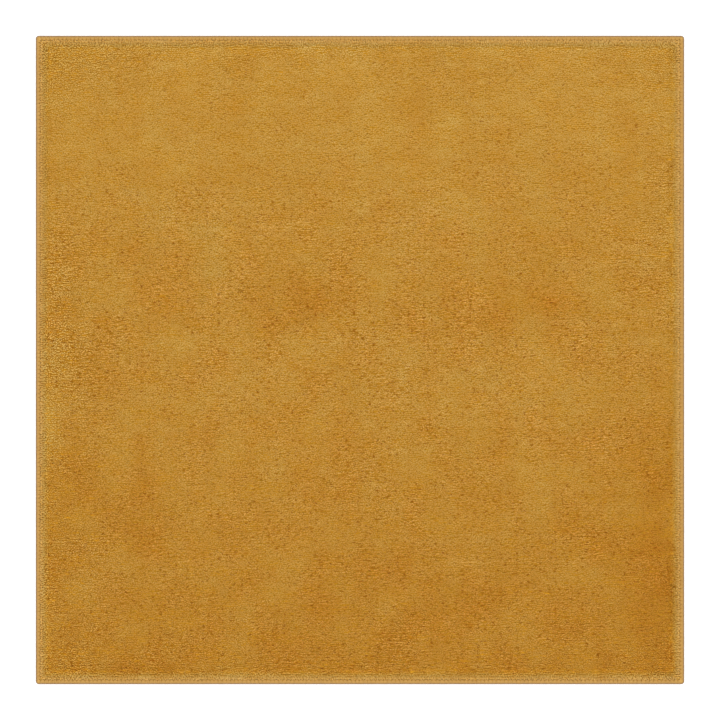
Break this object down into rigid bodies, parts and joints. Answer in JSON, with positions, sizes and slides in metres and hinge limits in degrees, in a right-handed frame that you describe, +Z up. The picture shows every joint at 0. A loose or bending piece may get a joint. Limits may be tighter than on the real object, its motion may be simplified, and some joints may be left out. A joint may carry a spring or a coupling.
{
  "type": "washable area rug",
  "caption": "Square plush area rug lying flat, with a low soft mustard pile, a rounded uneven rim and a serged yarn edging gripping its cut edge.",
  "frame": {"origin": "middle of the rug's underside, on the floor it lies on", "axes": "+Z up out of the pile, +X to the right and +Y away along its sides, as the rug is seen from above"},
  "size_m": [1.2, 1.2, 0.0173],
  "materials": {
    "pile": "matte short plush pile in mustard yellow",
    "edging_yarn": "matte wrapped yarn in a pinker tan"
  },
  "bodies": {
    "root": {"pile_cloth": "pile", "serged_edging": "edging_yarn"}
  },
  "joints": []
}
